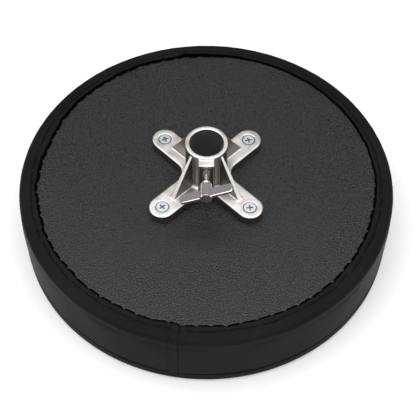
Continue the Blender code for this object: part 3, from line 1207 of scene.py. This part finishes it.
    def build_seat_panel(self, material: bpy.types.Material) -> bpy.types.Object:
        """The seat face: flat on the ground, its round corner puckered towards the seam.

        Args:
            material: Looks of the whole piece.

        Returns:
            The seat face, as a closed skin.
        """
        corner = self.seat_corner
        lines = [(self.radius - 1.6 * MM, self.seam_height + 0.1 * MM)]
        top = self.seam_height - 0.25 * MM
        lines += [(self.radius - 0.9 * MM, top + 0.1 * MM), (self.radius - 0.35 * MM, top - 0.25 * MM)]
        lines += [(self.radius, level) for level in np.linspace(top - 0.7 * MM, corner + 0.5 * MM, 8)]
        for turn in np.linspace(0.0, -0.5 * math.pi, 12):
            centre = (self.radius - corner, corner)
            lines.append((centre[0] + corner * math.cos(turn), centre[1] + corner * math.sin(turn)))
        for share in (0.9, 0.75, 0.55, 0.35, 0.15, 0.02):
            lines.append(((self.radius - corner) * share, 0.0))
        radius, height = (per_row(values, len(self.angles)) for values in np.transpose(lines))
        down = np.clip(self.seam_height - height, 0.0, None)
        slow = wavering(self.angles, self.seed + 8, range(3, 24), 0.5)
        radius += 0.13 * MM * self.pucker()[None, :] * np.exp(-down / (2.6 * MM)) * (height > 0.5 * MM)
        radius += 0.25 * MM * slow[None, :] * bell(down - 3.0 * MM, 2.0 * MM)
        inner = np.minimum(radius, self.radius - self.vinyl - 0.6 * MM)
        all_radius = np.concatenate([radius[::-1], inner])
        all_height = np.concatenate([height[::-1], height + self.vinyl])
        mesh = disc_mesh("seat_panel_cover", all_radius, all_height, self.angles)
        return link_piece("seat_panel_cover", mesh, material)

    def joint_row(self) -> tuple[np.ndarray, list[Vector]]:
        """Points and normals up the lapped joint, where its stitches lie.

        Returns:
            The points, one in each row, and the normals beside them.
        """
        stations, radius, height = self.surface
        column = int(np.argmin(np.abs(angle_from(self.angles, self.joint_stitch))))
        angle = self.angles[column : column + 1]
        points = ring_points(radius[:, column : column + 1], height[:, column : column + 1], angle)
        normals = ring_points(stations[:, 2:3], stations[:, 3:4], angle)
        return points, [Vector(normal) for normal in normals]

    def build_stitches(self, material: bpy.types.Material) -> bpy.types.Object:
        """The thread of the lower seam and of the lapped joint.

        Args:
            material: Looks of the thread.

        Returns:
            All the stitches, in one object.
        """
        run = ThreadRun(self.thread)
        count = int(math.tau * self.radius / self.seam_stitch)
        depth = self.radius - 0.55 * MM
        for index in range(count):
            turns = (math.tau * index / count, math.tau * (index + 0.8) / count)
            ends = [(depth * math.cos(a), depth * math.sin(a), self.seam_height) for a in turns]
            start, end = (Vector(spot) for spot in ends)
            run.stitch(start, end, (start + end).normalized())
        points, normals = self.joint_row()
        along = run_along(points)
        for index in range(int((along[-1] - 4.0 * MM) / self.joint_pitch)):
            low = 1.6 * MM + index * self.joint_pitch
            places = (low, low + self.joint_pitch * 0.74)
            start, end = (Vector([np.interp(at, along, axis) for axis in points.T]) for at in places)
            nearest = int(np.argmin(np.abs(along - low - self.joint_pitch / 2)))
            run.stitch(start, end, normals[nearest])
        return link_piece("cover_stitches", run.mesh("cover_stitches"), material)

    def build_staples(self, material: bpy.types.Material) -> bpy.types.Object:
        """The staples that hold the hem, sunk in their dents.

        Args:
            material: Looks of the wire.

        Returns:
            All the staples, in one object.
        """
        half = self.staple_length / 2
        bend = 0.7 * MM
        corner = [(half - bend, 0.0)]
        for turn in np.radians([30.0, 60.0]):
            corner.append((half - bend + bend * math.sin(turn), bend * math.cos(turn) - bend))
        leg = corner + [(half, -bend), (half, -2.6 * MM)]
        path = [(-x, z) for x, z in leg[::-1]] + [(0.0, 0.0)] + leg
        bar = SweptBar(path, width=1.1 * MM, thickness=0.55 * MM)
        places = []
        for angle, yaw, shift in zip(self.staple_angles, self.staple_yaw, self.staple_shift):
            reach = self.hem_radius + self.staple_setback + shift
            height = self.hem_top - self.dent_depth(angle) + 0.12 * MM
            turn = Matrix.Rotation(angle + math.pi / 2 + yaw, 4, "Z")
            spot = Matrix.Translation((reach * math.cos(angle), reach * math.sin(angle), height))
            places.append(spot @ turn)
        return link_piece("hem_staples", bar.copies("hem_staples", places), material)

    def build(self) -> None:
        """Makes and dresses every piece of the cover."""
        band = self.build_band(VinylFinish("side_vinyl_looks").material())
        dress(band, Body.SEAT, Slot.SIDE_VINYL, "side_band")
        seat = self.build_seat_panel(VinylFinish("seat_vinyl_looks").material())
        dress(seat, Body.SEAT, Slot.SEAT_VINYL, "seat_panel")
        thread = VinylFinish("thread_looks", (0.006, 0.006, 0.0065), (0.011, 0.011, 0.012), 3000.0)
        dress(self.build_stitches(thread.material()), Body.SEAT, Slot.SIDE_VINYL)
        steel = PlatedFinish("staple_looks", (0.010, 0.010, 0.011), (0.016, 0.016, 0.017), (0.5, 0.65))
        dress(self.build_staples(steel.material()), Body.SEAT, Slot.ZINC)
        LOG.info("cushion cover: %d tucks, %d staples", len(self.tucks), self.staples)


@dataclass
class ThreadRun:
    """Stitches of one thread, collected into one mesh."""

    radius: float
    sides: int = 6
    rings: int = 7
    points: list = field(default_factory=list)
    faces: list = field(default_factory=list)

    def stitch(self, start: Vector, end: Vector, normal: Vector) -> None:
        """Adds one stitch that bows out of the cover and dips in at both ends.

        Args:
            start: Where the thread comes out.
            end: Where it goes in.
            normal: The cover's outward direction.
        """
        along = (end - start).normalized()
        side = along.cross(normal).normalized()
        up = side.cross(along)
        base = len(self.points)
        for ring in range(self.rings):
            share = ring / (self.rings - 1)
            swell = math.sin(math.pi * share)
            middle = start.lerp(end, share) + up * self.radius * (1.3 * swell - 0.9)
            size = self.radius * (0.35 + 0.65 * math.sqrt(swell))
            for corner in range(self.sides):
                turn = math.tau * corner / self.sides
                self.points.append(middle + side * size * math.cos(turn) + up * size * math.sin(turn))
        for ring in range(self.rings - 1):
            low = base + ring * self.sides
            high = low + self.sides
            for corner in range(self.sides):
                after = (corner + 1) % self.sides
                self.faces.append((low + corner, low + after, high + after, high + corner))
        last = base + (self.rings - 1) * self.sides
        self.faces.append(tuple(range(base, base + self.sides))[::-1])
        self.faces.append(tuple(range(last, last + self.sides)))

    def mesh(self, name: str) -> bpy.types.Mesh:
        """All the stitches as one mesh."""
        return make_mesh(name, np.array(self.points), self.faces)


@dataclass
class SweptBar:
    """A flat bar bent along a path in its own X and Z, such as a staple's wire."""

    path: Sequence[tuple[float, float]]
    width: float
    thickness: float

    def section(self) -> tuple[np.ndarray, list]:
        """One bar's points and faces, about its own origin.

        Returns:
            The points, and the faces as rows of their numbers.
        """
        line = np.array(self.path)
        tangent = np.gradient(line, axis=0)
        tangent /= np.linalg.norm(tangent, axis=1)[:, None]
        normal = np.stack([-tangent[:, 1], tangent[:, 0]], axis=1)
        corners = [(-0.5, -0.5), (0.5, -0.5), (0.5, 0.25), (0.25, 0.5), (-0.25, 0.5), (-0.5, 0.25)]
        points = []
        for spot, out in zip(line, normal):
            for across, up in corners:
                x, z = spot + out * up * self.thickness
                points.append((x, across * self.width, z))
        faces = grid_faces(len(line), len(corners))
        last = (len(line) - 1) * len(corners)
        faces.append(tuple(range(len(corners)))[::-1])
        faces.append(tuple(range(last, last + len(corners))))
        return np.array(points), faces

    def copies(self, name: str, places: Sequence[Matrix]) -> bpy.types.Mesh:
        """One mesh with a bar at each place.

        Args:
            name: The mesh's name.
            places: Where each bar stands.

        Returns:
            The mesh.
        """
        single, faces = self.section()
        points = []
        all_faces = []
        for place in places:
            base = len(points)
            points += [place @ Vector(point) for point in single]
            all_faces += [tuple(base + corner for corner in face) for face in faces]
        return make_mesh(name, np.array(points), all_faces)


@dataclass
class SeatBase:
    """What the cover is fixed to: bottom panel, board, foam and tee nuts."""

    cushion: Cushion
    columns_per_staple: int = 16
    dip: float = 0.75 * MM
    dip_width: float = 1.0 * MM
    gap: float = 2.4 * MM
    pinch: float = 0.6
    even_gap: float = 1.3 * MM
    even_middle: float = math.radians(37.0)
    even_reach: tuple[float, float] = (math.radians(28.0), math.radians(52.0))
    foam_slack: float = 0.6 * MM

    def build_panel(self, material: bpy.types.Material) -> bpy.types.Object:
        """The leathercloth disc: slightly uneven, and pressed down under the hem's edge.

        Args:
            material: Looks of its visible face.

        Returns:
            The panel, with its backing as a second material, which also lies as painted shade on the
            visible strip just inside the hem's edge.
        """
        low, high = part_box("bottom_panel")
        columns = self.cushion.staples * self.columns_per_staple
        angles = np.linspace(0.0, math.tau, columns, endpoint=False)
        hem = np.interp(angles, self.cushion.angles, self.cushion.hem_line(), period=math.tau)
        shares = np.concatenate([np.linspace(0.02, 0.955, 16), np.linspace(0.96, 1.0, 8)])
        even = 1.0 - ramp(np.abs(angle_from(angles, self.even_middle)), *self.even_reach)
        pinch = self.pinch * (1.0 - even) * self.between_staples(angles)
        turn = hem - (self.gap - (self.gap - self.even_gap) * even) * (1.0 - pinch)
        radius = shares[:, None] * turn[None, :]
        spread = np.linspace(0.0, 1.0, 10)[1:, None] * (high.x - turn)[None, :]
        radius = np.concatenate([radius, turn[None, :] + spread])
        drop = self.dip * ramp(radius - turn[None, :], -0.2 * MM, self.dip_width)
        x, y, _ = ring_points(radius, radius, angles).T.reshape(3, *radius.shape)
        wave = 0.10 * MM * np.sin(x * 41.0 + 0.6) * np.cos(y * 33.0 - 0.4)
        wave += 0.06 * MM * np.sin(x * 87.0 - y * 61.0)
        top = high.z - drop - 0.1 * MM + np.clip(wave, -0.1 * MM, 0.1 * MM) * (radius < turn[None, :])
        under = radius[:: -6][::-1]
        all_radius = np.concatenate([under, radius[::-1]])
        all_height = np.concatenate([np.full_like(under, low.z), np.maximum(top, low.z + 0.02 * MM)[::-1]])
        mesh = disc_mesh("bottom_panel_cloth", all_radius, all_height, angles)
        panel = link_piece("bottom_panel_cloth", mesh, material)
        # painted shade: besides the underside, the visible strip from where the panel turns down to the
        # hem's edge takes the near-black backing
        panel.data.materials.append(BackingFinish("panel_back_and_shade_looks").material())
        quads = (len(all_radius) - 1) * columns
        back_and_shade_faces = np.arange(len(mesh.polygons)) < quads - (len(shares) - 1) * columns
        back_and_shade_faces[quads : quads + columns] = True
        panel.data.polygons.foreach_set("material_index", back_and_shade_faces.astype(np.int32))
        return panel

    def between_staples(self, angles: np.ndarray) -> np.ndarray:
        """1 midway between two staples, where the hem lies close on the panel, falling to 0.

        Args:
            angles: The columns' angles.

        Returns:
            One value for each column.
        """
        staples = np.sort(self.cushion.staple_angles)
        middles = (staples + np.roll(staples, -1)) / 2
        middles[-1] += math.pi
        close = np.zeros_like(angles)
        for middle in middles:
            away = angle_from(angles, middle) * self.cushion.hem_radius
            close = np.maximum(close, bell(away, 0.9 * MM))
        return close

    def build_foam(self, material: bpy.types.Material) -> bpy.types.Object:
        """The foam: a cut block, pressed round at its lower edge and a little slack in its side.

        Args:
            material: Looks of the foam.

        Returns:
            The foam, as a closed block.
        """
        low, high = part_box("foam_pad")
        angles = np.linspace(0.0, math.tau, 4 * self.cushion.staples, endpoint=False)
        tall = high.z - low.z
        corner = 3.4 * MM
        lines = [(high.x * share, low.z) for share in (0.02, 0.3, 0.6, 0.85)]
        for turn in np.linspace(-0.5 * math.pi, 0.0, 7):
            place = (high.x - corner + corner * math.cos(turn), low.z + corner + corner * math.sin(turn))
            lines.append(place)
        for share in np.linspace(0.1, 1.0, 14):
            slack = self.foam_slack * math.sin(math.pi * share)
            lines.append((high.x - slack, low.z + corner + (tall - corner) * share))
        lines += [(high.x * share, high.z) for share in (0.985, 0.7, 0.35, 0.02)]
        radius, height = (per_row(values, len(angles)) for values in np.transpose(lines))
        lumps = wavering(angles, self.cushion.seed + 9, range(3, 40), 0.4)
        radius -= 0.25 * MM * (1.0 + lumps)[None, :] * (radius > 0.9 * high.x)
        mesh = disc_mesh("foam_block", radius, height, angles)
        return link_piece("foam_block", mesh, material)

    def build(self) -> None:
        """Makes the panel and the foam, and gives the hidden CAD pieces their finishes."""
        panel = self.build_panel(LeatherclothFinish("leathercloth_looks").material())
        dress(panel, Body.SEAT, Slot.LEATHERCLOTH, "bottom_panel")
        foam = self.build_foam(FoamFinish("foam_looks").material())
        dress(foam, Body.SEAT, Slot.FOAM, "foam_pad")
        give(Slot.PLYWOOD, PlyFinish("plywood_looks").material(), "base_board")
        nuts = [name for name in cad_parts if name.startswith("tee_nut")]
        give(Slot.ZINC, PlatedFinish("nut_looks", roughness=(0.25, 0.4)).material(), *nuts)
        LOG.info("seat base: panel, board, foam and %d tee nuts", len(nuts))


# ---------------------------------------------------------------- metalwork


@dataclass
class Bracket:
    """The cast clamp bracket and the four screws that hold it."""

    voxel: float = 0.36 * MM
    passes: int = 2
    keep: float = 0.3
    head_edge: float = 0.16 * MM
    bore: float = 13.1 * MM

    def build_casting(self, screw: str) -> bpy.types.Object:
        """The casting, its edges and corners softened as the mould leaves them.

        Args:
            screw: One of the four screws, which stand alike about the tube.

        Returns:
            The piece.
        """
        mesh = softened_node("socket_bracket", self.voxel, self.passes, self.keep)
        low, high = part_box(screw)
        axis = (abs(low.x + high.x) / 2, abs(low.y + high.y) / 2)
        finish = CastFinish("casting_looks", self.bore, axis, (high.x - low.x) / 2)
        piece = link_piece("socket_bracket_casting", mesh, finish.material())
        dress(piece, Body.SEAT, Slot.CASTING, "socket_bracket")
        return piece

    def build_screw(self, node: str, material: bpy.types.Material) -> bpy.types.Object:
        """One fixing screw, with its edges eased.

        Args:
            node: The screw's CAD node.
            material: Its finish.

        Returns:
            The piece.
        """
        piece = link_piece(node + "_plated", eased_node(node, self.head_edge), material)
        dress(piece, Body.SEAT, Slot.ZINC, node)
        return piece

    def build(self) -> None:
        """Makes the casting and its screws."""
        screws = sorted(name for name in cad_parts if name.startswith("bracket_screw"))
        casting = self.build_casting(screws[0])
        head_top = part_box(screws[0])[1].z
        finish = ZincFinish("screw_looks", head_top).material()
        for node in screws:
            self.build_screw(node, finish)
        LOG.info("bracket: %d faces, %d screws", len(casting.data.polygons), len(screws))


@dataclass
class ClampScrew:
    """The wing screw: a polished shank with a rolled thread, and its cast wing head."""

    pitch: float = 1.27 * MM
    thread_depth: float = 0.36 * MM
    thread_length: float = 8.6 * MM
    collar: float = 0.25 * MM
    collar_length: float = 1.1 * MM
    sides: int = 56
    steps_per_turn: int = 10
    head_edge: float = 0.35 * MM
    tip_inset: float = 0.9 * MM
    root_inset: float = 0.15 * MM

    def outline(self) -> tuple[list[float], list[float]]:
        """Places along the axis and plain radii of the shank, from the head to the tip.

        Returns:
            The places, and the radius at each.
        """
        low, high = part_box("clamp_screw")
        hub_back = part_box("wing_head")[1].y
        radius = (high.z - low.z) / 2
        start = high.y - self.thread_length
        collar_low = hub_back + 0.15 * MM
        along = [low.y, hub_back, collar_low, collar_low + 0.25 * MM]
        radii = [radius, radius, radius, radius + self.collar]
        along += [collar_low + self.collar_length, collar_low + self.collar_length + 0.3 * MM]
        radii += [radius + self.collar, radius]
        along += [start - 0.5 * MM, start]
        radii += [radius, radius - self.root_inset]
        steps = int(self.thread_length / self.pitch * self.steps_per_turn)
        for step in range(1, steps):
            along.append(start + self.thread_length * step / steps)
            radii.append(radius - self.root_inset)
        along += [high.y - 0.3 * MM, high.y]
        radii += [radius - self.tip_inset / 1.8, radius - self.tip_inset]
        return along, radii

    def build_shank(self, material: bpy.types.Material) -> bpy.types.Object:
        """The shank, with a helical thread on its inner end.

        Args:
            material: Looks of the metal.

        Returns:
            The shank, closed at both ends.
        """
        along, radii = self.outline()
        low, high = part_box("clamp_screw")
        angles = np.linspace(0.0, math.tau, self.sides, endpoint=False)
        place = np.array(along)[:, None]
        radius = per_row(np.array(radii), self.sides)
        phase = (place / self.pitch - angles[None, :] / math.tau) % 1.0
        cut = 1.0 - np.abs(2.0 * phase - 1.0)
        start = high.y - self.thread_length
        span = ramp(place, start, start + 1.0 * MM) * (1.0 - ramp(place, high.y - 1.0 * MM, high.y))
        radius = radius - self.thread_depth * np.clip(1.25 * cut - 0.12, 0.0, 1.0) * span
        x = radius * np.cos(angles)[None, :]
        z = (low.z + high.z) / 2 + radius * np.sin(angles)[None, :]
        y = place + np.zeros_like(x)
        points = np.stack([x, y, z], axis=-1).reshape(-1, 3)
        faces = grid_faces(len(along), self.sides)
        last = (len(along) - 1) * self.sides
        faces.append(tuple(range(self.sides)))
        faces.append(tuple(range(last, last + self.sides)))
        piece = link_piece("clamp_screw_shank", make_mesh("clamp_screw_shank", points, faces), material)
        piece.data.set_sharp_from_angle(angle=math.radians(50.0))
        return piece

    def build(self) -> None:
        """Makes the shank and the wing head."""
        polish = PlatedFinish("shank_looks", (0.95, 0.94, 0.925), (0.85, 0.84, 0.825), (0.10, 0.18))
        shank = self.build_shank(polish.material())
        dress(shank, Body.SCREW, Slot.CHROME, "clamp_screw")
        head_mesh = eased_node("wing_head", self.head_edge)
        satin = PlatedFinish("head_looks", (0.88, 0.84, 0.83), (0.76, 0.73, 0.72), (0.06, 0.12))
        head = link_piece("wing_head_cast", head_mesh, satin.material())
        dress(head, Body.HEAD, Slot.CHROME, "wing_head")
        LOG.info("clamp screw: shank %d faces, head %d", len(shank.data.polygons), len(head_mesh.polygons))


# ---------------------------------------------------------------- studio


@dataclass(frozen=True)
class Softbox:
    """One square studio light."""

    name: str
    place: tuple[float, float, float]
    aim: tuple[float, float, float]
    width: float
    depth: float
    power: float


@dataclass
class Studio:
    """A pale floor, soft light from above, and the camera."""

    distance: float = 0.800
    down: float = math.radians(54.31)
    roll: float = math.radians(0.47)
    target: tuple[float, float, float] = (0.0015, -0.0300, 0.0597)
    lens: float = 88.31
    world: float = 0.30
    floor_glow: float = 0.13
    lights: tuple[Softbox, ...] = (
        Softbox("top_box", (-0.2, -0.38, 1.5), (-0.2, -0.38, 0.0), 2.4, 2.3, 39.0),
        Softbox("left_box", (-1.6, -0.7, 0.45), (0.0, 0.0, 0.08), 1.2, 0.8, 3.2),
        Softbox("right_box", (1.6, -0.7, 0.45), (0.0, 0.0, 0.08), 1.2, 0.8, 4.0),
    )

    def build_floor(self) -> None:
        """A floor that runs out of sight."""
        half = 6.0
        corners = np.array([(-half, -half, 0.0), (half, -half, 0.0), (half, half, 0.0), (-half, half, 0.0)])
        mesh = make_mesh("studio_floor", corners, [(0, 1, 2, 3)])
        finish = FloorFinish("floor_looks", glow=self.floor_glow)
        floor = link_piece("studio_floor", mesh, finish.material())

    def build_lights(self) -> None:
        """The softboxes and the room's even light."""
        for box in self.lights:
            light = bpy.data.lights.new(box.name, "AREA")
            light.shape = "RECTANGLE"
            light.size = box.width
            light.size_y = box.depth
            light.energy = box.power
            lamp = bpy.data.objects.new(box.name, light)
            lamp.location = box.place
            aim = Vector(box.aim) - Vector(box.place)
            lamp.rotation_euler = aim.to_track_quat("-Z", "Y").to_euler()
            bpy.context.scene.collection.objects.link(lamp)
        world = bpy.data.worlds.new("studio_room")
        world.use_nodes = True
        world.node_tree.nodes["Background"].inputs["Color"].default_value = (1.0, 1.0, 1.0, 1.0)
        world.node_tree.nodes["Background"].inputs["Strength"].default_value = self.world
        bpy.context.scene.world = world

    def build_camera(self) -> None:
        """The camera: above the front of the seat, looking down at the bracket."""
        forward = Vector((0.0, math.cos(self.down), -math.sin(self.down)))
        level = Vector((1.0, 0.0, 0.0))
        upward = level.cross(forward)
        right = level * math.cos(self.roll) + upward * math.sin(self.roll)
        up = right.cross(forward)
        data = bpy.data.cameras.new("studio_camera")
        data.lens = self.lens
        data.sensor_width = 36.0
        data.clip_start = 0.01
        data.clip_end = 50.0
        camera = bpy.data.objects.new("studio_camera", data)
        eye = Vector(self.target) - forward * self.distance
        axes = Matrix((right, up, -forward)).transposed().to_4x4()
        camera.matrix_world = Matrix.Translation(eye) @ axes
        bpy.context.scene.collection.objects.link(camera)
        bpy.context.scene.camera = camera

    def build(self) -> None:
        """Sets the whole studio."""
        self.build_floor()
        self.build_lights()
        self.build_camera()
        bpy.context.scene.view_settings.view_transform = "Standard"
        LOG.info("studio: %d softboxes", len(self.lights))


def main() -> None:
    """Builds the seat, piece by piece."""
    logging.basicConfig(level=logging.INFO, format="%(name)s: %(message)s")
    cushion = Cushion()
    cushion.build()
    SeatBase(cushion).build()
    Bracket().build()
    ClampScrew().build()
    Studio().build()


if __name__ == "__main__":
    main()
